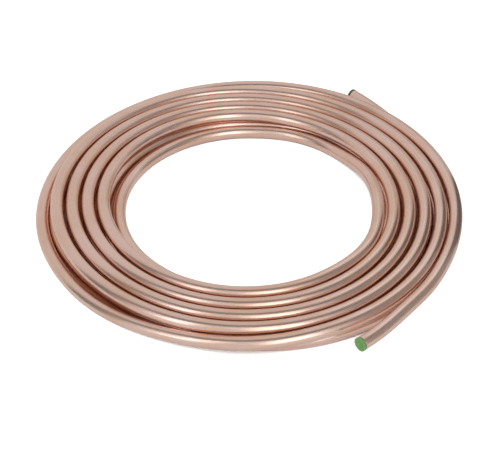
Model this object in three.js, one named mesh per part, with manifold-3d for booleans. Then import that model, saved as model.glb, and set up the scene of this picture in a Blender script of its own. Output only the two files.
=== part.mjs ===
// Copper tube coil: one length of soft copper tube wound flat in two layers, with a push-in plastic
// plug in each end. Millimetres, +Z up. The coil lies on the floor, and the origin is the middle of
// its footprint. The tube is wound from its upper end: inwards over the upper layer, down through the
// bore to the floor, and outwards again underneath, to its lower end.
import * as THREE from 'three';
import { mergeVertices } from 'three/addons/utils/BufferGeometryUtils.js';
import Module from 'manifold-3d';

// Tube: a trade size, 3/4 inch outside diameter.
const TUBE_DIAMETER = 19.05;
const TUBE_WALL = 1.07;
const TUBE_SIDES = 12;
const SECTIONS_PER_TURN = 36;

// The winding axis, from the middle of the footprint.
const AXIS_X = 4.1;
const AXIS_Y = -0.4;

// The two layers. Radii are to the tube's centre line, and gaps are between neighbouring turns. Turns
// that lie against each other keep the contact gap.
const COIL_RADIUS = 296.7;
const UPPER_TURNS = 5;
const UPPER_TURN_GAP = 3.45;
const LOWER_TURNS = 5;
const LOWER_TURN_GAP = 0.45;
const LOWER_LAYER_OFFSET = 7.7;
const LAYER_GAP = 0.35;
const CONTACT_GAP = 0.5;

// A turn keeps its radius, except for one stretch where it steps across to the next one. Angles are in
// degrees, anticlockwise from +X. In the lower layer each step comes a little sooner than the last.
const UPPER_STEP_START = 232;
const UPPER_STEP_END = 377;
const LOWER_STEP_START = 293;
const LOWER_STEP_END = 383;
const LOWER_STEP_CREEP = 12;

// Soft tube never lies quite round: the coil is a little oval, and each layer bulges on one side.
const OVAL = 1.7;
const UPPER_BULGE = 9.7;
const UPPER_BULGE_CENTRE = 151;
const UPPER_BULGE_HALF_WIDTH = 95;
const LOWER_BULGE = 3.5;
const LOWER_BULGE_CENTRE = 63;
const LOWER_BULGE_HALF_WIDTH = 30;

// The outermost upper turn has slipped off the layer below: it sinks to the floor, is drawn in
// against the lower layer, and climbs back up.
const SLIP_DOWN_START = 46;
const SLIP_DOWN_END = 178;
const SLIP_UP_START = 220;
const SLIP_UP_END = 299;
const SLIP_INSET = 7.4;
const SLIP_INSET_CENTRE = 247;
const SLIP_INSET_HALF_WIDTH = 33;
const SLIP_DENT = 2.3;
const SLIP_DENT_CENTRE = 214;
const SLIP_DENT_HALF_WIDTH = 30;

// On that side the lower turns spread out, the innermost least, until the outermost one leans on the
// slipped turn. At the front they lie a little further in, and the outermost one follows it again.
const LEAN_START = 60;
const LEAN_FULL = 165;
const LEAN_RELEASE = 190;
const LEAN_END = 232;
const FRONT_INSET = 2.0;
const FRONT_INSET_CENTRE = 240;
const FRONT_INSET_HALF_WIDTH = 35;
const FOLLOW = 4.6;
const FOLLOW_CENTRE = 280;
const FOLLOW_HALF_WIDTH = 26;

// The innermost turn lies against its neighbour, then comes down from the upper layer to the floor.
const DROP_END = 55;
const NUDGE_BEFORE_DROP = 32;
const NUDGE_HALF_WIDTH = 28;

// Both ends leave the coil on its outside, in a curve that opens faster and faster. The upper one has
// a slight dent on its way.
const UPPER_END_ANGLE = 64.4;
const UPPER_END_REACH = 31.6;
const UPPER_END_POWER = 2.9;
const UPPER_END_DENT = 2.4;
const UPPER_END_DENT_CENTRE = -49;
const UPPER_END_DENT_HALF_WIDTH = 13;
const LOWER_END_ANGLE = 60;
const LOWER_END_REACH = 50.3;
const LOWER_END_POWER = 2.2;
const LOWER_END_LIFT_START = 40;

// End plugs
const PLUG_CLEARANCE = 0.3;
const PLUG_DEPTH = 16.0;
const PLUG_LEAD_IN = 4.0;
const PLUG_LEAD_TAPER = 1.2;
const PLUG_LIP = 0.6;
const PLUG_HEAD_THICKNESS = 4.4;
const PLUG_HEAD_ROUNDING = 1.0;
const PLUG_SIDES = 24;

const TUBE_RADIUS = TUBE_DIAMETER / 2;
const BORE_RADIUS = TUBE_RADIUS - TUBE_WALL;
const PLUG_HEAD_RADIUS = TUBE_RADIUS + PLUG_LIP;

const UPPER_PITCH = TUBE_DIAMETER + UPPER_TURN_GAP;
const LOWER_PITCH = TUBE_DIAMETER + LOWER_TURN_GAP;
const UPPER_SPAN = 360 * UPPER_TURNS;
const LOWER_SPAN = 360 * LOWER_TURNS;
const LOWER_RADIUS = COIL_RADIUS - UPPER_TURNS * UPPER_PITCH + LOWER_LAYER_OFFSET;
const LAST_LOWER_TURN = LOWER_SPAN - 360;
const LEAN_SPREAD = LAST_LOWER_TURN + 180;
const CONTACT_PITCH = TUBE_DIAMETER + CONTACT_GAP;
const NUDGE = UPPER_TURN_GAP - CONTACT_GAP;

const FLOOR_HEIGHT = TUBE_RADIUS * Math.cos(Math.PI / TUBE_SIDES);
const UPPER_HEIGHT = FLOOR_HEIGHT + TUBE_DIAMETER + LAYER_GAP;
// The lower end is lifted just enough to keep its plug's head off the floor.
const LOWER_END_LIFT = PLUG_HEAD_RADIUS - FLOOR_HEIGHT + PLUG_CLEARANCE;

// Eased share, 0 to 1, of a change that runs from one angle to another.
const eased = (angle, start, end) => {
  const share = THREE.MathUtils.clamp((angle - start) / (end - start), 0, 1);
  return (1 - Math.cos(Math.PI * share)) / 2;
};

// A smooth hump, 1 at its centre and 0 beyond its half width.
const hump = (angle, centre, halfWidth) => {
  const share = Math.min(Math.abs(angle - centre) / halfWidth, 1);
  return Math.cos((Math.PI / 2) * share) ** 2;
};

// Steps across to the next turn since a layer began. A step may run on into the turn after its own.
const stepsDone = (wound, start, end, creep) => {
  const turn = Math.floor(wound / 360);
  const stepOf = (before) => {
    const sooner = creep * (turn - before);
    return eased(wound - 360 * (turn - before), start - sooner, end - sooner);
  };
  return Math.max(turn - 1 + stepOf(1) + stepOf(0), 0);
};

const upperRadius = (wound) =>
  COIL_RADIUS - UPPER_PITCH * stepsDone(wound, UPPER_STEP_START, UPPER_STEP_END, 0);

const lowerRadius = (wound) =>
  LOWER_RADIUS + LOWER_PITCH * stepsDone(wound, LOWER_STEP_START, LOWER_STEP_END, LOWER_STEP_CREEP);

// Radius and height in the upper layer, by the angle wound since its first full turn began.
const upperLine = (wound) => {
  const angle = THREE.MathUtils.euclideanModulo(wound, 360);
  const flare = UPPER_END_REACH * Math.max(-wound / UPPER_END_ANGLE, 0) ** UPPER_END_POWER;
  const endDent = UPPER_END_DENT * hump(wound, UPPER_END_DENT_CENTRE, UPPER_END_DENT_HALF_WIDTH);
  const bulge = wound > 0 ? UPPER_BULGE * hump(angle, UPPER_BULGE_CENTRE, UPPER_BULGE_HALF_WIDTH) : 0;
  const inset = SLIP_INSET * hump(wound, SLIP_INSET_CENTRE, SLIP_INSET_HALF_WIDTH);
  const dent = SLIP_DENT * hump(wound, SLIP_DENT_CENTRE, SLIP_DENT_HALF_WIDTH);
  const nudge = NUDGE * hump(wound, UPPER_SPAN - NUDGE_BEFORE_DROP, NUDGE_HALF_WIDTH);
  const sunk = eased(wound, SLIP_DOWN_START, SLIP_DOWN_END) - eased(wound, SLIP_UP_START, SLIP_UP_END);
  return {
    radius: upperRadius(wound) + flare - endDent + bulge - inset - dent + nudge,
    height: THREE.MathUtils.lerp(UPPER_HEIGHT, FLOOR_HEIGHT, sunk),
  };
};

// How far a lower turn leans out towards the slipped turn, by the angle wound in that layer.
const leanOut = (wound) => {
  const angle = THREE.MathUtils.euclideanModulo(wound, 360);
  const share = eased(angle, LEAN_START, LEAN_FULL) - eased(angle, LEAN_RELEASE, LEAN_END);
  const slipped = upperLine(angle);
  const across = Math.sqrt(Math.max(CONTACT_PITCH ** 2 - (slipped.height - FLOOR_HEIGHT) ** 2, 0));
  const room = slipped.radius - across - lowerRadius(LAST_LOWER_TURN + angle);
  return Math.max(room, 0) * share * eased(wound, 0, LEAN_SPREAD);
};

// The same for the lower layer, by the angle wound since the tube began to drop.
const lowerLine = (wound) => {
  const dropped = eased(wound, 0, DROP_END);
  const past = Math.max(wound - LOWER_SPAN, 0);
  const flare = LOWER_END_REACH * (past / LOWER_END_ANGLE) ** LOWER_END_POWER;
  const angle = wound % 360;
  const bulge = past > 0 ? 0 : LOWER_BULGE * hump(angle, LOWER_BULGE_CENTRE, LOWER_BULGE_HALF_WIDTH);
  const inset = FRONT_INSET * hump(angle, FRONT_INSET_CENTRE, FRONT_INSET_HALF_WIDTH);
  const follow = FOLLOW * hump(wound, LAST_LOWER_TURN + FOLLOW_CENTRE, FOLLOW_HALF_WIDTH);
  const onFloor = lowerRadius(wound) + leanOut(wound) + bulge - inset + follow + flare;
  const lift = LOWER_END_LIFT * eased(past, LOWER_END_LIFT_START, LOWER_END_ANGLE);
  return {
    radius: THREE.MathUtils.lerp(upperRadius(UPPER_SPAN + wound), onFloor, dropped),
    height: THREE.MathUtils.lerp(UPPER_HEIGHT, FLOOR_HEIGHT, dropped) + lift,
  };
};

// The tube's centre line. Its frames stay upright, so every section has a level flat underneath.
class WoundLine extends THREE.Curve {
  constructor() {
    super();
    this.start = -UPPER_END_ANGLE;
    this.end = UPPER_SPAN + LOWER_SPAN + LOWER_END_ANGLE;
  }

  getPoint(share, target = new THREE.Vector3()) {
    const wound = THREE.MathUtils.lerp(this.start, this.end, share);
    const angle = THREE.MathUtils.degToRad(wound);
    const { radius, height } = wound < UPPER_SPAN ? upperLine(wound) : lowerLine(wound - UPPER_SPAN);
    const reach = radius - OVAL * Math.sin(2 * angle);
    return target.set(AXIS_X + reach * Math.cos(angle), AXIS_Y + reach * Math.sin(angle), height);
  }

  // Sections are spaced evenly by angle, so neighbouring turns have theirs side by side.
  getPointAt(share, target) {
    return this.getPoint(share, target);
  }

  getTangentAt(share, target = new THREE.Vector3()) {
    const aside = 1e-5;
    const before = this.getPoint(Math.max(share - aside, 0));
    const after = this.getPoint(Math.min(share + aside, 1));
    return target.copy(after).sub(before).normalize();
  }

  computeFrenetFrames(segments) {
    const up = new THREE.Vector3(0, 0, 1);
    const frames = { tangents: [], normals: [], binormals: [] };
    for (let i = 0; i <= segments; i++) {
      const tangent = this.getTangentAt(i / segments);
      const normal = new THREE.Vector3().crossVectors(up, tangent).normalize();
      frames.tangents.push(tangent);
      frames.normals.push(normal);
      frames.binormals.push(new THREE.Vector3().crossVectors(tangent, normal));
    }
    return frames;
  }
}

const wasm = await Module();
wasm.setup();

const toSolid = (geometry) => {
  const bare = geometry.clone();
  bare.deleteAttribute('normal');
  bare.deleteAttribute('uv');
  const merged = mergeVertices(bare, 1e-4);
  const mesh = new wasm.Mesh({
    numProp: 3,
    vertProperties: new Float32Array(merged.attributes.position.array),
    triVerts: new Uint32Array(merged.index.array),
  });
  return new wasm.Manifold(mesh);
};

const toGeometry = (solid) => {
  const mesh = solid.getMesh();
  const geometry = new THREE.BufferGeometry();
  geometry.setAttribute('position', new THREE.BufferAttribute(mesh.vertProperties, 3));
  geometry.setIndex(new THREE.BufferAttribute(mesh.triVerts, 1));
  return geometry;
};

// A tube section with a flat side at the bottom.
const tubeSection = () => {
  const corners = [];
  for (let i = 0; i < TUBE_SIDES; i++) {
    const angle = (2 * Math.PI * (i + 0.5)) / TUBE_SIDES;
    const corner = new THREE.Vector2(Math.cos(angle), Math.sin(angle));
    corners.push(corner.multiplyScalar(TUBE_RADIUS));
  }
  return new THREE.Shape(corners);
};

const woundTube = (line) => {
  const turns = (line.end - line.start) / 360;
  return new THREE.ExtrudeGeometry(tubeSection(), {
    steps: Math.round(turns * SECTIONS_PER_TURN),
    extrudePath: line,
    bevelEnabled: false,
  });
};

// Moves a shape that points along +Y to the start (0) or the end (1) of the tube, pointing out of it.
const placeAtEnd = (geometry, line, share) => {
  const outwards = line.getTangentAt(share).multiplyScalar(share === 0 ? -1 : 1);
  const turn = new THREE.Quaternion().setFromUnitVectors(new THREE.Vector3(0, 1, 0), outwards);
  return geometry.applyQuaternion(turn).translate(...line.getPoint(share).toArray());
};

// The open bore at a tube end, just deeper than its plug.
const borePocket = () => {
  const depth = PLUG_DEPTH + PLUG_CLEARANCE;
  const overshoot = 2;
  const pocket = new THREE.CylinderGeometry(BORE_RADIUS, BORE_RADIUS, depth + overshoot, PLUG_SIDES);
  return pocket.translate(0, (overshoot - depth) / 2, 0);
};

// A turned plug: a tapered stem in the bore, and a flat head that covers the tube's end.
const endPlug = () => {
  const stem = BORE_RADIUS - PLUG_CLEARANCE;
  const seat = PLUG_CLEARANCE;
  const face = seat + PLUG_HEAD_THICKNESS;
  const profile = [
    new THREE.Vector2(0, -PLUG_DEPTH),
    new THREE.Vector2(stem - PLUG_LEAD_TAPER, -PLUG_DEPTH),
    new THREE.Vector2(stem, PLUG_LEAD_IN - PLUG_DEPTH),
    new THREE.Vector2(stem, seat),
    new THREE.Vector2(PLUG_HEAD_RADIUS, seat),
    new THREE.Vector2(PLUG_HEAD_RADIUS, face - PLUG_HEAD_ROUNDING),
    new THREE.Vector2(PLUG_HEAD_RADIUS - PLUG_HEAD_ROUNDING, face),
    new THREE.Vector2(0, face),
  ];
  return new THREE.LatheGeometry(profile, PLUG_SIDES);
};

const copper = new THREE.MeshStandardMaterial({ color: 0xcba18d, metalness: 1.0, roughness: 0.22 });
const greenPlastic = new THREE.MeshStandardMaterial({ color: 0x58a066, metalness: 0.0, roughness: 0.5 });

const line = new WoundLine();
const tubeEnds = { upper_end: 0, lower_end: 1 };

const makeTube = () => {
  let solid = toSolid(woundTube(line));
  for (const share of Object.values(tubeEnds)) {
    solid = solid.subtract(toSolid(placeAtEnd(borePocket(), line, share)));
  }
  const mesh = new THREE.Mesh(toGeometry(solid), copper);
  mesh.name = 'copper_tube';
  return mesh;
};

const makePlug = (endName, share) => {
  const mesh = new THREE.Mesh(placeAtEnd(endPlug(), line, share), greenPlastic);
  mesh.name = `${endName}_plug`;
  return mesh;
};

const coil = new THREE.Group();
coil.name = 'copper_tube_coil';
coil.add(makeTube());
for (const [endName, share] of Object.entries(tubeEnds)) {
  coil.add(makePlug(endName, share));
}

export default coil;
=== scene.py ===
"""Copper tube coil, dressed for its pictures.

One length of soft copper tube lies wound flat in two layers, with a green push-in plug in each end.
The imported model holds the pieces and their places. This script gives each of them its fine surface
and its finish, and sets a plain pale studio round the coil. All lengths are in metres.
"""

import logging
import math
from dataclasses import dataclass, field
from enum import Enum

import bpy
from mathutils import Matrix, Vector

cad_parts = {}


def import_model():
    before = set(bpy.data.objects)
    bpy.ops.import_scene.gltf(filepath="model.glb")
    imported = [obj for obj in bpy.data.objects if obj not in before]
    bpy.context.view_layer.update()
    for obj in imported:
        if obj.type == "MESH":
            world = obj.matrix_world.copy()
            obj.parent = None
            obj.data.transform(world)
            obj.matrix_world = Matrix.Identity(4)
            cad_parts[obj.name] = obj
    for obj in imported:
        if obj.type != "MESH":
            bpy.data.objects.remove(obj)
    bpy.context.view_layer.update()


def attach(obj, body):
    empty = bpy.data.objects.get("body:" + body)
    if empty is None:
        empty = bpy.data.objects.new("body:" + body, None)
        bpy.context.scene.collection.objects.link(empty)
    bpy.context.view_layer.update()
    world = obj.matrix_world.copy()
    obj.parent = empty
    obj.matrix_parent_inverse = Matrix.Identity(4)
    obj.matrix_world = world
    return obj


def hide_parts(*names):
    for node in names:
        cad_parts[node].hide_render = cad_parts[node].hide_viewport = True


MM = 0.001  # One millimetre, in metres.
TURN = 360  # One turn, in degrees.
UP = Vector((0.0, 0.0, 1.0))

# Blender's types, by short names.
Material = bpy.types.Material
Node = bpy.types.Node
NodeTree = bpy.types.NodeTree
Object = bpy.types.Object
Socket = bpy.types.NodeSocket

# The colour sockets of a Mix node, which share their names with its number sockets.
COLOUR_A, COLOUR_B, MIXED_COLOUR = 6, 7, 2

logging.basicConfig(level=logging.INFO, format="%(message)s")
log = logging.getLogger("copper_tube_coil")


def linear(hex_colour: str) -> tuple[float, float, float, float]:
    """Turns a written colour into the linear values that a shader takes.

    Args:
        hex_colour: an sRGB colour such as "#D1AA9A".

    Returns:
        Linear red, green and blue, and a full alpha.
    """
    channels = [int(hex_colour[i : i + 2], 16) / 255 for i in (1, 3, 5)]
    values = [c / 12.92 if c <= 0.04045 else ((c + 0.055) / 1.055) ** 2.4 for c in channels]
    return (*values, 1.0)


def add_node(
    tree: NodeTree,
    kind: str,
    inputs: dict[str | int, object] | None = None,
    **settings: object,
) -> Node:
    """Adds one node to a tree, with its settings and its inputs.

    Args:
        tree: the tree that gets the node.
        kind: the node's type name.
        inputs: for each input, by name or number, a value, or the output socket to link to it. A
            node stands for its first output.
        settings: the node's own properties.

    Returns:
        The new node.
    """
    node = tree.nodes.new(kind)
    for name, value in settings.items():
        setattr(node, name, value)
    for name, value in (inputs or {}).items():
        if isinstance(value, Node):
            value = value.outputs[0]
        if isinstance(value, Socket):
            tree.links.new(value, node.inputs[name])
        else:
            node.inputs[name].default_value = value
    return node


def new_material(name: str) -> tuple[Material, NodeTree]:
    """Makes a material that has no nodes yet.

    Args:
        name: the material's name.

    Returns:
        The material and its tree.
    """
    material = bpy.data.materials.new(name)
    material.use_nodes = True
    material.node_tree.nodes.clear()
    return material, material.node_tree


def eased(angle: float, start: float, end: float) -> float:
    """Returns the share, 0 to 1, done of a smooth change that runs from one angle to another."""
    share = min(max((angle - start) / (end - start), 0.0), 1.0)
    return (1 - math.cos(math.pi * share)) / 2


def mix(first: float, second: float, share: float) -> float:
    """Returns the value that lies a share of the way from the first to the second."""
    return first + (second - first) * share


class TubeEnd(Enum):
    """The two ends of the tube, named for the layer that each leaves from."""

    UPPER = "upper_end"
    LOWER = "lower_end"


@dataclass(frozen=True)
class Station:
    """One cross-section of a round piece.

    Args:
        centre: the middle of the section.
        side: the direction of the section's first side.
        rise: the direction a quarter turn on.
        share: the section's radius, as a share of the piece's own.
        run: the distance along the piece.
    """

    centre: Vector
    side: Vector
    rise: Vector
    share: float
    run: float


@dataclass(frozen=True)
class Bend:
    """A smooth bend out of the line, or into it where its reach is below zero.

    Args:
        reach: how far out it goes in its middle.
        centre: the angle of its middle, in degrees.
        half_width: the angle from its middle to where it ends.
    """

    reach: float
    centre: float
    half_width: float

    def at(self, angle: float) -> float:
        """Returns how far out the line is at an angle."""
        share = min(abs(angle - self.centre) / self.half_width, 1.0)
        return self.reach * math.cos(math.pi / 2 * share) ** 2


@dataclass(frozen=True)
class Winding:
    """The line that the middle of the tube follows. Angles are degrees wound, anticlockwise from +X.

    The tube is wound from its upper end: inwards over the upper layer, down through the bore, and
    outwards again on the floor. The outermost upper turn has slipped off the layer below. It sinks to
    the floor on the left, where the lower turns spread out towards it, and climbs back at the front.
    """

    tube_diameter: float = 19.05 * MM
    axis_x: float = 4.1 * MM
    axis_y: float = -0.4 * MM

    coil_radius: float = 296.7 * MM
    upper_turns: int = 5
    upper_turn_gap: float = 3.45 * MM
    lower_turns: int = 5
    lower_turn_gap: float = 0.45 * MM
    lower_layer_offset: float = 7.7 * MM
    layer_gap: float = 0.05 * MM
    contact_gap: float = 0.2 * MM

    # Where a turn steps across to the next one, and how much sooner each lower turn does.
    upper_step: tuple[float, float] = (232, 377)
    lower_step: tuple[float, float] = (293, 383)
    lower_step_creep: float = 12

    # How far the coil is from round.
    oval: float = 1.7 * MM
    upper_bulge: Bend = Bend(9.7 * MM, 151, 95)
    lower_bulge: Bend = Bend(3.5 * MM, 63, 30)

    # Where the slipped turn sinks, climbs back and is drawn in.
    slip_down: tuple[float, float] = (46, 178)
    slip_up: tuple[float, float] = (220, 299)
    slip_inset: Bend = Bend(-7.4 * MM, 247, 33)
    slip_dent: Bend = Bend(-2.3 * MM, 214, 30)

    # Where the lower turns spread out towards the slipped one, and follow the layer above.
    lean_in: tuple[float, float] = (60, 165)
    lean_out: tuple[float, float] = (190, 232)
    front_inset: Bend = Bend(-2.0 * MM, 240, 35)
    follow: Bend = Bend(4.6 * MM, 280, 26)

    # The drop through the bore, and how the last upper turn makes way for it.
    drop_end: float = 55
    nudge_before_drop: float = 32
    nudge_half_width: float = 28

    # How the two ends flare out, and the lower one lifts.
    upper_end_angle: float = 64.4
    upper_end_reach: float = 31.6 * MM
    upper_end_power: float = 2.9
    upper_end_dent: Bend = Bend(-2.4 * MM, -49, 13)
    lower_end_angle: float = 60
    lower_end_reach: float = 50.3 * MM
    lower_end_power: float = 2.2
    lower_end_lift: float = 0.9 * MM
    lower_end_lift_start: float = 40

    # How far the open floor reaches in under a turn, as a share of that turn's height off the floor.
    open_under: float = 0.3

    @property
    def first(self) -> float:
        """The angle at the upper end."""
        return -self.upper_end_angle

    @property
    def last(self) -> float:
        """The angle at the lower end."""
        return TURN * (self.upper_turns + self.lower_turns) + self.lower_end_angle

    @property
    def last_lower_turn(self) -> float:
        """The angle wound in the lower layer where its last full turn starts."""
        return TURN * (self.lower_turns - 1)

    @property
    def upper_pitch(self) -> float:
        """How much smaller each turn of the upper layer is than the turn before."""
        return self.tube_diameter + self.upper_turn_gap

    @property
    def lower_pitch(self) -> float:
        """How much larger each turn of the lower layer is than the turn before."""
        return self.tube_diameter + self.lower_turn_gap

    @property
    def floor_height(self) -> float:
        """The height of a turn that lies on the floor."""
        return self.tube_diameter / 2

    @property
    def upper_height(self) -> float:
        """The height of a turn of the upper layer."""
        return self.floor_height + self.tube_diameter + self.layer_gap

    @staticmethod
    def steps_done(wound: float, step: tuple[float, float], creep: float = 0.0) -> float:
        """Counts the steps across to the next turn since a layer began.

        Args:
            wound: the angle wound in this layer.
            step: where the first turn's step starts and ends. It may end in the turn after.
            creep: how much sooner each turn has its step than the turn before.

        Returns:
            The whole and the part steps done.
        """
        turn = math.floor(wound / TURN)
        own = wound - TURN * turn + creep * turn
        before = own + TURN - creep
        return max(turn - 1 + eased(before, *step) + eased(own, *step), 0.0)

    def upper_radius(self, wound: float) -> float:
        """Returns the radius of the upper layer's spiral."""
        return self.coil_radius - self.upper_pitch * self.steps_done(wound, self.upper_step)

    def lower_radius(self, wound: float) -> float:
        """Returns the radius of the lower layer's spiral, by the angle wound in that layer."""
        start = self.coil_radius - self.upper_turns * self.upper_pitch + self.lower_layer_offset
        return start + self.lower_pitch * self.steps_done(wound, self.lower_step, self.lower_step_creep)

    def sunk(self, wound: float) -> float:
        """Returns how far, 0 to 1, the slipped turn has sunk to the floor."""
        return eased(wound, *self.slip_down) - eased(wound, *self.slip_up)

    def upper_line(self, wound: float) -> tuple[float, float]:
        """Follows the upper layer.

        Args:
            wound: the angle wound.

        Returns:
            The radius and the height.
        """
        flare = self.upper_end_reach * max(-wound / self.upper_end_angle, 0.0) ** self.upper_end_power
        nudge = Bend(
            self.upper_turn_gap - self.contact_gap,
            TURN * self.upper_turns - self.nudge_before_drop,
            self.nudge_half_width,
        )
        bends = (self.upper_end_dent, self.slip_inset, self.slip_dent, nudge)
        radius = self.upper_radius(wound) + flare + sum(bend.at(wound) for bend in bends)
        if wound > 0:
            radius += self.upper_bulge.at(wound % TURN)
        return radius, mix(self.upper_height, self.floor_height, self.sunk(wound))

    def lean(self, wound: float) -> float:
        """Works out how far a lower turn leans out, towards the slipped turn above it.

        Args:
            wound: the angle wound in the lower layer.

        Returns:
            The distance that it leans out.
        """
        angle = wound % TURN
        share = eased(angle, *self.lean_in) - eased(angle, *self.lean_out)
        slipped, height = self.upper_line(angle)
        reach = self.tube_diameter + self.contact_gap
        across = math.sqrt(max(reach**2 - (height - self.floor_height) ** 2, 0.0))
        room = slipped - across - self.lower_radius(self.last_lower_turn + angle)
        return max(room, 0.0) * share * eased(wound, 0, self.last_lower_turn + TURN / 2)

    def lower_line(self, wound: float) -> tuple[float, float]:
        """Follows the lower layer, from the drop through the bore on.

        Args:
            wound: the angle wound in the lower layer.

        Returns:
            The radius and the height.
        """
        dropped = eased(wound, 0, self.drop_end)
        past = max(wound - TURN * self.lower_turns, 0.0)
        flare = self.lower_end_reach * (past / self.lower_end_angle) ** self.lower_end_power
        bends = self.front_inset.at(wound % TURN) + self.follow.at(wound - self.last_lower_turn)
        if past == 0:
            bends += self.lower_bulge.at(wound % TURN)
        lift = self.lower_end_lift * eased(past, self.lower_end_lift_start, self.lower_end_angle)
        above = self.upper_radius(TURN * self.upper_turns + wound)
        on_floor = self.lower_radius(wound) + self.lean(wound) + bends + flare
        radius = mix(above, on_floor, dropped)
        return radius, mix(self.upper_height, self.floor_height, dropped) + lift

    def point(self, wound: float) -> Vector:
        """Follows the whole tube.

        Args:
            wound: the angle wound.

        Returns:
            The middle of the tube.
        """
        upper_span = TURN * self.upper_turns
        if wound < upper_span:
            radius, height = self.upper_line(wound)
        else:
            radius, height = self.lower_line(wound - upper_span)
        angle = math.radians(wound)
        reach = radius - self.oval * math.sin(2 * angle)
        return Vector(
            (self.axis_x + reach * math.cos(angle), self.axis_y + reach * math.sin(angle), height)
        )

    def tangent(self, wound: float) -> Vector:
        """Works out which way the tube runs.

        Args:
            wound: the angle wound.

        Returns:
            Its direction, towards its lower end.
        """
        nudge = 0.01
        before = self.point(max(wound - nudge, self.first))
        after = self.point(min(wound + nudge, self.last))
        return (after - before).normalized()

    def station(self, wound: float, share: float, run: float) -> Station:
        """Cuts an upright section of the tube.

        Args:
            wound: the angle wound.
            share: the section's radius, as a share of the tube's.
            run: the distance along the tube.

        Returns:
            The section.
        """
        along = self.tangent(wound)
        side = along.cross(UP).normalized()
        return Station(self.point(wound), side, side.cross(along), share, run)

    def covered(self, angle: float) -> tuple[Vector, Vector]:
        """Works out how far the coil covers the floor.

        The inner edge is under the innermost turn of either layer. Where that turn is off the floor,
        the open floor reaches in under it. The outer edge is under the outermost turn on the floor, and
        where the slipped turn comes down it goes smoothly over to that.

        Args:
            angle: the angle round the coil.

        Returns:
            A point over the inner edge and one over the outer edge.
        """
        lower_start = TURN * self.upper_turns
        axis = Vector((self.axis_x, self.axis_y))
        innermost = (self.point(lower_start + angle), self.point(lower_start + angle - TURN))
        inner = min(innermost, key=lambda middle: (middle.xy - axis).length)
        outwards = (inner.xy - axis).normalized().to_3d()
        inner += outwards * (self.open_under * (inner.z - self.floor_height))
        last = self.point(lower_start + self.last_lower_turn + angle)
        return inner, last.lerp(self.point(angle), self.sunk(angle) ** 3)

    def end_place(self, end: TubeEnd) -> tuple[Vector, Vector]:
        """Works out where an end of the tube is.

        Args:
            end: which end.

        Returns:
            Its middle, and the direction that points out of it.
        """
        if end is TubeEnd.UPPER:
            return self.point(self.first), -self.tangent(self.first)
        return self.point(self.last), self.tangent(self.last)


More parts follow.
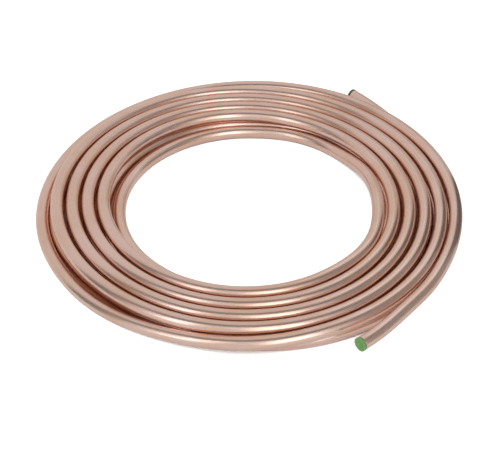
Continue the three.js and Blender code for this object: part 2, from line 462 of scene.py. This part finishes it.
class RoundLoft:
    """Makes a closed round piece from its cross-sections, with Geometry Nodes."""

    seam_distance: float = 0.004 * MM

    def __init__(self) -> None:
        """Builds the node tree once, for every piece that uses it."""
        self.tree = bpy.data.node_groups.new("Round piece from sections", "GeometryNodeTree")
        face = self.tree.interface
        for name, kind in (
            ("Sections", "NodeSocketGeometry"),
            ("Radius", "NodeSocketFloat"),
            ("Sides", "NodeSocketInt"),
            ("Finish", "NodeSocketMaterial"),
        ):
            face.new_socket(name=name, in_out="INPUT", socket_type=kind)
        face.new_socket(name="Geometry", in_out="OUTPUT", socket_type="NodeSocketGeometry")
        self._fill_tree()

    def _sampled(self, name: str, kind: str, sections: Socket, row: Node) -> Socket:
        """Reads one value of the section that a row of the grid stands for.

        Args:
            name: the attribute's name, or "position".
            kind: its data type.
            sections: the socket that holds the sections.
            row: the node that gives the row number.

        Returns:
            The output socket of the value.
        """
        if name == "position":
            source = add_node(self.tree, "GeometryNodeInputPosition")
        else:
            source = add_node(
                self.tree, "GeometryNodeInputNamedAttribute", {"Name": name}, data_type=kind
            ).outputs["Attribute"]
        sample = add_node(
            self.tree,
            "GeometryNodeSampleIndex",
            {"Geometry": sections, "Value": source, "Index": row},
            data_type=kind,
        )
        return sample.outputs["Value"]

    def _fill_tree(self) -> None:
        """Adds the nodes: a grid with a row for each section, each row bent into its circle."""
        tree = self.tree
        given = add_node(tree, "NodeGroupInput")
        sections = given.outputs["Sections"]
        count = add_node(tree, "GeometryNodeAttributeDomainSize", {"Geometry": sections})
        columns = add_node(tree, "ShaderNodeMath", {0: given.outputs["Sides"], 1: 1.0})
        grid = add_node(
            tree,
            "GeometryNodeMeshGrid",
            {
                "Size X": 1.0,
                "Size Y": 1.0,
                "Vertices X": count.outputs["Point Count"],
                "Vertices Y": columns,
            },
        )

        # Row and column of each grid point. Half a point is added so that no row is rounded down.
        index = add_node(tree, "GeometryNodeInputIndex")
        middle = add_node(tree, "ShaderNodeMath", {0: index, 1: 0.5})
        rows = add_node(tree, "ShaderNodeMath", {0: middle, 1: columns}, operation="DIVIDE")
        row = add_node(tree, "ShaderNodeMath", {0: rows}, operation="FLOOR")
        before = add_node(tree, "ShaderNodeMath", {0: row, 1: columns}, operation="MULTIPLY")
        column = add_node(tree, "ShaderNodeMath", {0: index, 1: before}, operation="SUBTRACT")
        around = add_node(
            tree, "ShaderNodeMath", {0: column, 1: given.outputs["Sides"]}, operation="DIVIDE"
        )

        centre = self._sampled("position", "FLOAT_VECTOR", sections, row)
        side = self._sampled("side", "FLOAT_VECTOR", sections, row)
        rise = self._sampled("rise", "FLOAT_VECTOR", sections, row)
        share = self._sampled("share", "FLOAT", sections, row)
        run = self._sampled("run", "FLOAT", sections, row)

        # Point on the circle: centre + radius * (cos * side + sin * rise).
        angle = add_node(tree, "ShaderNodeMath", {0: around, 1: math.tau}, operation="MULTIPLY")
        parts = []
        for way, function in ((side, "COSINE"), (rise, "SINE")):
            size = add_node(tree, "ShaderNodeMath", {0: angle}, operation=function)
            part = add_node(
                tree, "ShaderNodeVectorMath", {0: way, "Scale": size}, operation="SCALE"
            )
            parts.append(part)
        direction = add_node(tree, "ShaderNodeVectorMath", {0: parts[0], 1: parts[1]})
        radius = add_node(
            tree, "ShaderNodeMath", {0: given.outputs["Radius"], 1: share}, operation="MULTIPLY"
        )
        offset = add_node(
            tree, "ShaderNodeVectorMath", {0: direction, "Scale": radius}, operation="SCALE"
        )
        place = add_node(tree, "ShaderNodeVectorMath", {0: centre, 1: offset})

        # The piece's own map, in metres: across is the way round it, and up is the way along it.
        girth = add_node(
            tree, "ShaderNodeMath", {0: given.outputs["Radius"], 1: math.tau}, operation="MULTIPLY"
        )
        across = add_node(tree, "ShaderNodeMath", {0: around, 1: girth}, operation="MULTIPLY")
        flat = add_node(tree, "ShaderNodeCombineXYZ", {"X": across, "Y": run})
        on_points = add_node(
            tree,
            "GeometryNodeFieldOnDomain",
            {"Value": flat},
            domain="POINT",
            data_type="FLOAT_VECTOR",
        )
        mapped = add_node(
            tree,
            "GeometryNodeStoreNamedAttribute",
            {"Geometry": grid.outputs["Mesh"], "Name": "UVMap", "Value": on_points},
            data_type="FLOAT2",
            domain="CORNER",
        )

        bent = add_node(tree, "GeometryNodeSetPosition", {"Geometry": mapped, "Position": place})
        closed = add_node(
            tree, "GeometryNodeMergeByDistance", {"Geometry": bent, "Distance": self.seam_distance}
        )
        smooth = add_node(tree, "GeometryNodeSetShadeSmooth", {"Geometry": closed})
        real = add_node(tree, "GeometryNodeRealizeInstances", {"Geometry": smooth})
        dressed = add_node(
            tree, "GeometryNodeSetMaterial", {"Geometry": real, "Material": given.outputs["Finish"]}
        )
        add_node(tree, "NodeGroupOutput", {0: dressed})

    def make(
        self,
        name: str,
        stations: list[Station],
        radius: float,
        sides: int,
        finish: Material,
    ) -> Object:
        """Makes one piece.

        Args:
            name: the piece's name.
            stations: its sections. The first and the last have no radius, which closes the piece.
            radius: the radius that each section has its share of.
            sides: the number of sides of each section.
            finish: the piece's material.

        Returns:
            The finished piece, a plain mesh at the origin.
        """
        mesh = bpy.data.meshes.new(name + "_sections")
        mesh.from_pydata([s.centre for s in stations], [], [])
        for title in ("side", "rise"):
            values = [c for s in stations for c in getattr(s, title)]
            mesh.attributes.new(title, "FLOAT_VECTOR", "POINT").data.foreach_set("vector", values)
        for title in ("share", "run"):
            values = [getattr(s, title) for s in stations]
            mesh.attributes.new(title, "FLOAT", "POINT").data.foreach_set("value", values)
        lined = bpy.data.objects.new(name + "_sections", mesh)
        bpy.context.scene.collection.objects.link(lined)

        modifier = lined.modifiers.new("Sections", "NODES")
        modifier.node_group = self.tree
        given = {"Radius": radius, "Sides": sides, "Finish": finish}
        for socket in self.tree.interface.items_tree:
            if socket.in_out == "INPUT" and socket.name in given:
                modifier[socket.identifier] = given[socket.name]

        depsgraph = bpy.context.evaluated_depsgraph_get()
        shape = bpy.data.meshes.new_from_object(
            lined.evaluated_get(depsgraph), preserve_all_data_layers=True, depsgraph=depsgraph
        )
        lined.modifiers.remove(modifier)
        bpy.data.objects.remove(lined)
        shape.name = name
        piece = bpy.data.objects.new(name, shape)
        bpy.context.scene.collection.objects.link(piece)
        return piece


@dataclass(frozen=True)
class AnnealedCopper:
    """Soft copper, drawn through a die and annealed bright: pinkish, satin, and barely tarnished."""

    fresh: str = "#F8D6C8"
    warm: str = "#F0C7AF"
    roughness: float = 0.25
    tarnish_size: float = 70 * MM
    tarnish_range: tuple[float, float] = (0.35, 0.75)
    tarnish_roughness: float = 0.05
    line_spacing: float = 0.9 * MM
    line_length: float = 60 * MM
    line_depth: float = 0.004 * MM
    line_range: tuple[float, float] = (0.3, 0.7)
    line_roughness: float = 0.03
    wave_size: float = 26 * MM
    wave_depth: float = 0.035 * MM
    grain_size: float = 0.8 * MM
    grain_depth: float = 0.002 * MM

    def material(self) -> Material:
        """Builds the finish.

        Returns:
            The tube's material.
        """
        material, tree = new_material("annealed_copper")
        place = add_node(tree, "ShaderNodeTexCoord")
        solid = place.outputs["Object"]

        # Thin, warmer tarnish in soft patches about a hand wide.
        patches = add_node(
            tree,
            "ShaderNodeTexNoise",
            {"Vector": solid, "Scale": 1 / self.tarnish_size, "Detail": 3.0, "Roughness": 0.55},
        )
        bare, dull = self.tarnish_range
        tarnish = add_node(
            tree, "ShaderNodeMapRange", {"Value": patches, "From Min": bare, "From Max": dull}
        )
        colour = add_node(
            tree,
            "ShaderNodeMix",
            {"Factor": tarnish, COLOUR_A: linear(self.fresh), COLOUR_B: linear(self.warm)},
            data_type="RGBA",
        )

        # Drawing lines along the tube. Real ones are finer than 0.1 mm, too fine to show.
        scale = (1 / self.line_spacing, 1 / self.line_length, 1.0)
        stretched = add_node(
            tree, "ShaderNodeMapping", {"Vector": place.outputs["UV"], "Scale": scale}
        )
        lines = add_node(
            tree,
            "ShaderNodeTexNoise",
            {"Vector": stretched, "Scale": 1.0, "Detail": 2.0},
            noise_dimensions="2D",
        )
        grain = add_node(
            tree,
            "ShaderNodeTexNoise",
            {"Vector": solid, "Scale": 1 / self.grain_size, "Detail": 1.0},
        )

        # Rougher where the drawing lines and the tarnish are.
        low, high = self.line_range
        rough_lines = add_node(
            tree,
            "ShaderNodeMapRange",
            {
                "Value": lines,
                "From Min": low,
                "From Max": high,
                "To Min": self.roughness - self.line_roughness,
                "To Max": self.roughness + self.line_roughness,
            },
        )
        rough_patches = add_node(
            tree, "ShaderNodeMath", {0: tarnish, 1: self.tarnish_roughness}, operation="MULTIPLY"
        )
        roughness = add_node(tree, "ShaderNodeMath", {0: rough_lines, 1: rough_patches})

        # Slow waves left by the bending, then the lines and the grain on top.
        waves = add_node(
            tree,
            "ShaderNodeTexNoise",
            {"Vector": solid, "Scale": 1 / self.wave_size, "Detail": 1.0},
        )
        surface = {}
        for pattern, depth in (
            (waves, self.wave_depth),
            (lines, self.line_depth),
            (grain, self.grain_depth),
        ):
            raised = {"Height": pattern, "Strength": 1.0, "Distance": depth}
            bump = add_node(tree, "ShaderNodeBump", raised | surface)
            surface = {"Normal": bump}
        shader = add_node(
            tree,
            "ShaderNodeBsdfPrincipled",
            {
                "Base Color": colour.outputs[MIXED_COLOUR],
                "Metallic": 1.0,
                "Roughness": roughness,
                **surface,
            },
        )
        add_node(tree, "ShaderNodeOutputMaterial", {"Surface": shader})
        return material


@dataclass(frozen=True)
class MouldedPolyethylene:
    """Green polyethylene, injection moulded: a soft, slightly waxy shine, and painted shade on its
    side.

    The painted shade reaches up the head's side from the tube's end to a height, and fades over its
    edge.
    """

    colour: str = "#6CAC5E"
    faded: str = "#80A75E"
    # A darker green painted as shade on the head's side, up to a height and fading over an edge.
    painted_side_shade: str = "#5F6646"
    painted_shade_height: float = 3.4 * MM
    painted_shade_edge: float = 0.6 * MM
    cloud_size: float = 6 * MM
    roughness: float = 0.48
    refraction: float = 1.51
    pebble_size: float = 1.1 * MM
    pebble_depth: float = 0.05 * MM

    def material(self) -> Material:
        """Builds the finish.

        Returns:
            The plug's material.
        """
        material, tree = new_material("moulded_polyethylene")
        place = add_node(tree, "ShaderNodeTexCoord")
        solid = place.outputs["Object"]
        clouds = add_node(
            tree,
            "ShaderNodeTexNoise",
            {"Vector": solid, "Scale": 1 / self.cloud_size, "Detail": 2.0},
        )
        unshaded = add_node(
            tree,
            "ShaderNodeMix",
            {"Factor": clouds, COLOUR_A: linear(self.colour), COLOUR_B: linear(self.faded)},
            data_type="RGBA",
        )

        # Painted shade darkens the head's side, but not its face.
        along = add_node(tree, "ShaderNodeSeparateXYZ", {0: place.outputs["UV"]})
        side = add_node(
            tree,
            "ShaderNodeMapRange",
            {
                "Value": along.outputs["Y"],
                "From Min": self.painted_shade_height,
                "From Max": self.painted_shade_height + self.painted_shade_edge,
                "To Min": 1.0,
                "To Max": 0.0,
            },
        )
        colour = add_node(
            tree,
            "ShaderNodeMix",
            {"Factor": side, COLOUR_A: unshaded.outputs[MIXED_COLOUR], COLOUR_B: linear(self.painted_side_shade)},
            data_type="RGBA",
        )

        # The fine pebble of the mould.
        pebbles = add_node(
            tree,
            "ShaderNodeTexNoise",
            {"Vector": solid, "Scale": 1 / self.pebble_size, "Detail": 2.0},
        )
        raised = add_node(
            tree,
            "ShaderNodeBump",
            {"Height": pebbles, "Strength": 1.0, "Distance": self.pebble_depth},
        )
        shader = add_node(
            tree,
            "ShaderNodeBsdfPrincipled",
            {
                "Base Color": colour.outputs[MIXED_COLOUR],
                "Roughness": self.roughness,
                "IOR": self.refraction,
                "Normal": raised,
            },
        )
        add_node(tree, "ShaderNodeOutputMaterial", {"Surface": shader})
        return material


@dataclass
class WoundTube:
    """The tube: a thin wall, wound along the line, open at both ends as far in as the plugs reach."""

    winding: Winding
    wall: float = 1.07 * MM
    bore_depth: float = 16.3 * MM
    edge_rounding: float = 0.35 * MM
    edge_steps: int = 4
    section_angle: float = 2.5
    sides: int = 40
    finish: AnnealedCopper = field(default_factory=AnnealedCopper)

    def _end_profile(self) -> list[tuple[float, float]]:
        """Works out an end's shape, from the bottom of its bore out over the wall's edge.

        Returns:
            The distance in and the share of the radius, point by point.
        """
        radius = self.winding.tube_diameter / 2
        bore = radius - self.wall
        profile = [(self.bore_depth, 0.0), (self.bore_depth, bore), (self.edge_rounding / 2, bore)]
        profile.append((0.0, bore + self.edge_rounding / 2))
        for step in range(self.edge_steps + 1):
            turn = math.pi / 2 * step / self.edge_steps
            inset = self.edge_rounding * (1 - math.cos(turn))
            profile.append((inset, radius - self.edge_rounding * (1 - math.sin(turn))))
        return [(inset, reach / radius) for inset, reach in profile]

    def _stations(self) -> list[Station]:
        """Cuts the tube's sections, from the bottom of the upper end's bore to the lower one's.

        Returns:
            The sections.
        """
        line = self.winding

        # The length wound in each degree, at either end.
        near = 0.1
        first_speed = (line.point(line.first + near) - line.point(line.first)).length / near
        last_speed = (line.point(line.last) - line.point(line.last - near)).length / near
        profile = self._end_profile()
        stations = [
            line.station(line.first + inset / first_speed, share, inset) for inset, share in profile
        ]
        count = round((line.last - line.first) / self.section_angle)
        run = profile[-1][0]
        previous = stations[-1].centre
        for i in range(1, count):
            wound = mix(line.first, line.last, i / count)
            run += (line.point(wound) - previous).length
            previous = line.point(wound)
            stations.append(line.station(wound, 1.0, run))
        length = run + (line.point(line.last) - previous).length
        for inset, share in reversed(profile):
            stations.append(line.station(line.last - inset / last_speed, share, length - inset))
        log.info("tube: %.2f m long, %d sections", length, len(stations))
        return stations

    def build(self, loft: RoundLoft) -> Object:
        """Builds and dresses the tube, in place of its plain solid.

        Args:
            loft: what turns sections into a piece.

        Returns:
            The tube.
        """
        radius = self.winding.tube_diameter / 2
        piece = loft.make(
            "wound_tube", self._stations(), radius, self.sides, self.finish.material()
        )
        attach(piece, "root")
        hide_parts("copper_tube")
        return piece


@dataclass
class EndPlug:
    """A push-in plug: a tapered stem in the bore, and a round head over the tube's end."""

    winding: Winding
    end: TubeEnd
    head_radius: float = 9.75 * MM
    head_thickness: float = 4.6 * MM
    head_rounding: float = 0.9 * MM
    rounding_steps: int = 5
    seat_gap: float = 0.05 * MM
    stem_radius: float = 8.15 * MM
    stem_depth: float = 16.0 * MM
    lead_in: float = 4.0 * MM
    lead_taper: float = 1.2 * MM
    dish_depth: float = 0.25 * MM
    dish_radius: float = 8.3 * MM
    gate_radius: float = 1.1 * MM
    gate_depth: float = 0.15 * MM
    sides: int = 64

    def _profile(self) -> list[tuple[float, float]]:
        """Works out the plug's outline, from the stem's tip to the middle of its face.

        Returns:
            The distance out of the tube's end and the radius, point by point.
        """
        tip = self.stem_radius - self.lead_taper
        face = self.seat_gap + self.head_thickness
        low = self.seat_gap
        small = self.head_rounding / 3
        profile = [
            (-self.stem_depth, 0.0),
            (-self.stem_depth, tip),
            (-self.stem_depth + self.lead_in, self.stem_radius),
            (low, self.stem_radius),
            (low, self.head_radius - small),
            (low + small, self.head_radius),
        ]
        for step in range(self.rounding_steps + 1):
            turn = math.pi / 2 * step / self.rounding_steps
            along = face - self.head_rounding * (1 - math.sin(turn))
            profile.append((along, self.head_radius - self.head_rounding * (1 - math.cos(turn))))
        dished = face - self.dish_depth
        profile += [
            (face, self.dish_radius + 2 * self.dish_depth),
            (dished, self.dish_radius),
            (dished, self.gate_radius + self.gate_depth),
            (dished - self.gate_depth, self.gate_radius),
            (dished - self.gate_depth, 0.0),
        ]
        return profile

    def build(self, loft: RoundLoft, finish: Material) -> Object:
        """Builds and dresses the plug, in place of its plain solid.

        Args:
            loft: what turns sections into a piece.
            finish: the plug's material.

        Returns:
            The plug.
        """
        middle, outwards = self.winding.end_place(self.end)
        side = outwards.cross(UP).normalized()
        rise = side.cross(outwards)
        stations = [
            Station(middle + outwards * along, side, rise, reach / self.head_radius, along)
            for along, reach in self._profile()
        ]
        node = f"{self.end.value}_plug"
        piece = loft.make(f"{self.end.value}_cap", stations, self.head_radius, self.sides, finish)
        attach(piece, "root")
        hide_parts(node)
        return piece


@dataclass(frozen=True)
class Softbox:
    """An upright lamp. Its azimuth is in degrees, clockwise from +Y as seen from above."""

    azimuth: float
    distance: float
    width: float
    bottom: float
    top: float
    brightness: float


@dataclass(frozen=True)
class GreyCard:
    """An upright card on the floor, with how bright it is at its foot and at its top."""

    azimuth: float
    distance: float
    width: float
    top: float
    foot_light: float
    top_light: float


@dataclass(frozen=True)
class CeilingCard:
    """A card that hangs level over the coil, with where its sides are from the coil's middle."""

    height: float
    left: float
    right: float
    front: float
    back: float
    light: float


class Lamp(Enum):
    """The softboxes round the coil: azimuth, distance, width, bottom, top and brightness."""

    LEFT = Softbox(-142.0, 2.0, 0.58, 0.35, 2.7, 1.28)
    RIGHT = Softbox(163.0, 1.5, 0.75, 0.25, 2.2, 1.45)
    BACK = Softbox(47.0, 0.5, 0.52, 0.45, 1.02, 0.33)


class Card(Enum):
    """The grey cards that the copper reflects: azimuth, distance, width, top and both lights."""

    LEFT = GreyCard(-105.0, 1.3, 0.6, 2.2, 0.18, 0.29)
    NEAR_RIGHT = GreyCard(83.0, 0.376, 0.2, 0.208, 0.13, 0.155)
    RIGHT = GreyCard(97.0, 1.0, 1.26, 1.46, 0.33, 0.25)
    BACK_RIGHT = GreyCard(32.5, 0.8, 0.52, 0.68, 0.44, 0.57)


class Ceiling(Enum):
    """The cards overhead: height, left, right, front and back side, and light."""

    OVERHEAD = CeilingCard(3.2, -2.6, 2.9, -1.45, 0.3, 0.22)
    OVERHEAD_RIGHT = CeilingCard(2.8, 1.2, 4.5, 0.12, 2.0, 0.28)


@dataclass
class Studio:
    """A white studio: a pale floor, softboxes and grey cards round the coil, and the camera."""

    centre: Vector
    winding: Winding

    # The floor: its grey for the light and for what is seen, and how much white is added to that
    # for the camera and in the copper.
    floor_radius: float = 8.0
    floor_sides: int = 64
    floor_grey: float = 0.72
    floor_shown: float = 0.60
    floor_white: float = 0.90
    floor_mirrored: float = 0.22

    # Its shadow beside the coil, painted by how open the floor is: how far off it starts, and the
    # painted colour, dark and copper-tinted where the floor is closed in.
    contact_reach: float = 60.0 * MM
    contact_samples: int = 8
    floor_open: float = 0.25
    floor_painted_shade: tuple[tuple[float, str], ...] = (
        (0.0, "#381506"),
        (0.07, "#442010"),
        (0.165, "#6E4434"),
        (0.215, "#E6DEDA"),
        (0.25, "#FFFFFF"),
    )

    # The floor under the coil, a strip just over the rest that glows with painted shade and painted
    # copper-coloured light.
    covered_rise: float = 0.05 * MM
    covered_angle: int = 5
    covered_painted_shade: tuple[tuple[float, str], ...] = (
        (0.0, "#2A0A02"),
        (0.06, "#451D0D"),
        (0.12, "#7C4630"),
        (0.3, "#98624B"),
    )

    # The light from all round, and how bright it is in the copper.
    daylight: float = 0.9
    mirrored: float = 0.63
    lamp_colour: str = "#E8F8FF"

    # The camera, in front of the coil and aimed a little short of its middle.
    view_elevation: float = 39.91
    view_shift: tuple[float, float] = (-0.001, 0.0016)
    view_distance: float = 1.84
    view_lens: float = 91.0
    view_sensor: float = 36.0
    aim: Vector = field(default_factory=lambda: Vector((0.0, -28.6 * MM, 0.0)))

    @staticmethod
    def _mirror_ray(tree: NodeTree, path: Node) -> Node:
        """Returns the node that gives 1 for a ray that metal or glass sends on, and 0 for others."""
        kinds = {0: path.outputs["Is Glossy Ray"], 1: path.outputs["Is Transmission Ray"]}
        return add_node(tree, "ShaderNodeMath", kinds, operation="MAXIMUM")

    def _world(self) -> None:
        """Lights the coil evenly from all round, against pure white.

        The camera sees white. Metal and glass show the same backdrop, as bright as the lamps make it.
        """
        world = bpy.data.worlds.new("white_studio")
        world.use_nodes = True
        tree = world.node_tree
        tree.nodes.clear()
        path = add_node(tree, "ShaderNodeLightPath")
        mirror = self._mirror_ray(tree, path)
        level = add_node(
            tree, "ShaderNodeMix", {"Factor": mirror, "A": self.daylight, "B": self.mirrored}
        )
        shown = add_node(
            tree, "ShaderNodeMix", {"Factor": path.outputs["Is Camera Ray"], "A": level, "B": 1.0}
        )
        light = add_node(
            tree, "ShaderNodeBackground", {"Color": linear("#FFFFFF"), "Strength": shown}
        )
        add_node(tree, "ShaderNodeOutputWorld", {"Surface": light})
        bpy.context.scene.world = world

    def _floor(self) -> None:
        """Lays the pale floor. The camera sees it white, but for the coil's shadow, which is partly
        real and partly painted shade by how open the floor is.
        """
        material, tree = new_material("pale_floor")
        path = add_node(tree, "ShaderNodeLightPath")
        mirror = self._mirror_ray(tree, path)
        openness, light = self._painted_contact_shade(tree, self.floor_painted_shade)
        open_share = add_node(
            tree,
            "ShaderNodeMapRange",
            {"Value": openness, "From Min": self.floor_open / 2, "From Max": self.floor_open},
        )
        reflected = add_node(
            tree, "ShaderNodeMath", {0: mirror, 1: self.floor_mirrored}, operation="MULTIPLY"
        )
        level = add_node(
            tree,
            "ShaderNodeMix",
            {"Factor": path.outputs["Is Camera Ray"], "A": reflected, "B": self.floor_white},
        )
        strength = add_node(tree, "ShaderNodeMix", {"Factor": open_share, "A": 1.0, "B": level})
        # The emission is white on the open floor, and painted shade where the coil closes it in.
        white = add_node(tree, "ShaderNodeEmission", {"Color": light, "Strength": strength})
        seen = add_node(
            tree,
            "ShaderNodeMath",
            {0: path.outputs["Is Camera Ray"], 1: mirror},
            operation="MAXIMUM",
        )
        shade = add_node(
            tree, "ShaderNodeMix", {"Factor": seen, "A": self.floor_grey, "B": self.floor_shown}
        )
        colour = add_node(
            tree, "ShaderNodeVectorMath", {0: light, "Scale": shade}, operation="SCALE"
        )
        plain = add_node(tree, "ShaderNodeBsdfDiffuse", {"Color": colour})
        both = add_node(tree, "ShaderNodeAddShader", {0: plain, 1: white})
        add_node(tree, "ShaderNodeOutputMaterial", {"Surface": both})

        corners = []
        for i in range(self.floor_sides):
            angle = math.tau * i / self.floor_sides
            corners.append(Vector((math.cos(angle), math.sin(angle), 0.0)) * self.floor_radius)
        self._stage_mesh("floor", corners, [tuple(range(self.floor_sides))], material)

    def _painted_contact_shade(
        self, tree: NodeTree, colours: tuple[tuple[float, str], ...]
    ) -> tuple[Socket, Socket]:
        """Adds the painted shade that the floor has by how open it is, close to the coil and further
        off.

        Args:
            tree: the tree that gets the nodes.
            colours: each colour, after how open the floor is where it stands. The first stands at 0.

        Returns:
            How open the floor is, and its colour.
        """
        contact = add_node(
            tree,
            "ShaderNodeAmbientOcclusion",
            {"Distance": self.contact_reach},
            samples=self.contact_samples,
        )
        ramp = add_node(tree, "ShaderNodeValToRGB", {"Fac": contact.outputs["AO"]})
        stops = ramp.color_ramp.elements
        stops.remove(stops[-1])
        stops[0].color = linear(colours[0][1])
        for place, hex_colour in colours[1:]:
            stops.new(place).color = linear(hex_colour)
        return contact.outputs["AO"], ramp.outputs["Color"]

    def _lay_painted_shade_strip(self) -> None:
        """Lays the floor's part under the coil, a strip that glows with painted shade and painted light
        in the colour that copper throws back.
        """
        material, tree = new_material("painted_shade_under_coil")
        light = self._painted_contact_shade(tree, self.covered_painted_shade)[1]
        # The strip glows with painted shade and painted copper-coloured light, though it is no lamp.
        glow = add_node(tree, "ShaderNodeEmission", {"Color": light})
        add_node(tree, "ShaderNodeOutputMaterial", {"Surface": glow})

        corners = []
        for angle in range(0, TURN, self.covered_angle):
            for edge in self.winding.covered(angle):
                corners.append(Vector((edge.x, edge.y, self.covered_rise)))
        count = len(corners)
        faces = [(i, i + 1, (i + 3) % count, (i + 2) % count) for i in range(0, count, 2)]
        self._stage_mesh("painted_shade_under_coil", corners, faces, material)

    def _stage_mesh(
        self,
        name: str,
        corners: list[Vector],
        faces: list[tuple[int, ...]],
        material: Material,
    ) -> Object:
        """Makes a flat mesh that belongs to the studio.

        Args:
            name: its name.
            corners: its corners.
            faces: its faces, as numbers of corners.
            material: its material.

        Returns:
            The mesh's object.
        """
        mesh = bpy.data.meshes.new(name)
        mesh.from_pydata(corners, [], faces)
        mesh.materials.append(material)
        flat = bpy.data.objects.new(name, mesh)
        bpy.context.scene.collection.objects.link(flat)
        return flat

    def _grey_card(
        self, name: str, corners: list[Vector], foot_light: float, top_light: float
    ) -> None:
        """Makes a card that the camera doesn't see, whose grey shades evenly from foot to top.

        Args:
            name: the card's name.
            corners: its corners.
            foot_light: how bright it is at the floor.
            top_light: how bright it is at its top.
        """
        material, tree = new_material(name)
        place = add_node(tree, "ShaderNodeTexCoord")
        height = add_node(tree, "ShaderNodeSeparateXYZ", {0: place.outputs["Object"]})
        shade = add_node(
            tree,
            "ShaderNodeMapRange",
            {
                "Value": height.outputs["Z"],
                "From Max": max(corner.z for corner in corners),
                "To Min": foot_light,
                "To Max": top_light,
            },
        )
        glow = add_node(tree, "ShaderNodeEmission", {"Strength": shade})
        add_node(tree, "ShaderNodeOutputMaterial", {"Surface": glow})
        self._stage_mesh(name, corners, [(0, 1, 2, 3)], material).visible_camera = False

    def _stand(self, azimuth: float, distance: float) -> tuple[Vector, Vector]:
        """Finds the place of an upright lamp or card.

        Args:
            azimuth: its azimuth.
            distance: how far it is from the coil's middle.

        Returns:
            The middle of its foot, and the direction of its width.
        """
        angle = math.radians(azimuth)
        away = Vector((math.sin(angle), math.cos(angle), 0.0))
        return self.centre + away * distance, away.cross(UP)

    def _card(self, kind: Card) -> None:
        """Stands one grey card.

        Args:
            kind: which card.
        """
        card = kind.value
        foot, across = self._stand(card.azimuth, card.distance)
        half = across * (card.width / 2)
        rise = UP * card.top
        corners = [foot - half, foot + half, foot + half + rise, foot - half + rise]
        self._grey_card(f"{kind.name.lower()}_card", corners, card.foot_light, card.top_light)

    def _ceiling(self, kind: Ceiling) -> None:
        """Hangs one grey card over the coil.

        Args:
            kind: which card.
        """
        card = kind.value
        front_sides = ((card.left, card.front), (card.right, card.front))
        back_sides = ((card.right, card.back), (card.left, card.back))
        corners = [self.centre + Vector((x, y, card.height)) for x, y in front_sides + back_sides]
        self._grey_card(f"{kind.name.lower()}_card", corners, card.light, card.light)

    def _lamp(self, kind: Lamp) -> None:
        """Stands one softbox, facing the coil. The camera doesn't see it.

        Args:
            kind: which softbox.
        """
        lamp = kind.value
        foot, across = self._stand(lamp.azimuth, lamp.distance)
        height = lamp.top - lamp.bottom
        data = bpy.data.lights.new(f"{kind.name.lower()}_softbox", "AREA")
        data.shape = "RECTANGLE"
        data.size = lamp.width
        data.size_y = height
        data.energy = lamp.brightness * math.pi * lamp.width * height
        data.color = linear(self.lamp_colour)[:3]
        made = bpy.data.objects.new(data.name, data)
        bpy.context.scene.collection.objects.link(made)
        turned = Matrix((-across, UP, UP.cross(across))).transposed().to_4x4()
        middle = foot + UP * ((lamp.bottom + lamp.top) / 2)
        made.matrix_world = Matrix.Translation(middle) @ turned
        made.visible_camera = False

    def _camera(self) -> None:
        """Places the camera, above and in front of the coil."""
        scene = bpy.context.scene
        tilt = math.radians(self.view_elevation)
        back = Vector((0.0, -math.cos(tilt), math.sin(tilt)))
        data = bpy.data.cameras.new("camera")
        data.lens = self.view_lens
        data.sensor_width = self.view_sensor
        data.shift_x, data.shift_y = self.view_shift
        camera = bpy.data.objects.new("camera", data)
        camera.location = self.centre + self.aim + back * self.view_distance
        camera.rotation_euler = (math.pi / 2 - tilt, 0.0, 0.0)
        scene.collection.objects.link(camera)
        scene.camera = camera

    def build(self) -> None:
        """Sets up the whole studio."""
        bpy.context.scene.view_settings.view_transform = "Standard"
        self._world()
        self._floor()
        self._lay_painted_shade_strip()
        for ceiling in Ceiling:
            self._ceiling(ceiling)
        for card in Card:
            self._card(card)
        for lamp in Lamp:
            self._lamp(lamp)
        self._camera()


def corners(bounds: tuple[Vector, Vector]) -> list[list[float]]:
    """Returns a box's two corners as plain lists."""
    return [list(corner) for corner in bounds]


def main() -> None:
    """Builds the coil's pieces in order, dresses them and sets up the studio."""
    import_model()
    winding = Winding()
    loft = RoundLoft()
    tube = WoundTube(winding).build(loft)
    log.info("%s: %d faces", tube.name, len(tube.data.polygons))
    # The plug of the upper end has painted shade on only a thin band of its side.
    finishes = {
        TubeEnd.UPPER: MouldedPolyethylene(painted_shade_height=0.6 * MM),
        TubeEnd.LOWER: MouldedPolyethylene(),
    }
    for end, finish in finishes.items():
        plug = EndPlug(winding, end).build(loft, finish.material())
        log.info("%s: %d faces", plug.name, len(plug.data.polygons))
    Studio(Vector((winding.axis_x, winding.axis_y, 0.0)), winding).build()


if __name__ == "__main__":
    main()
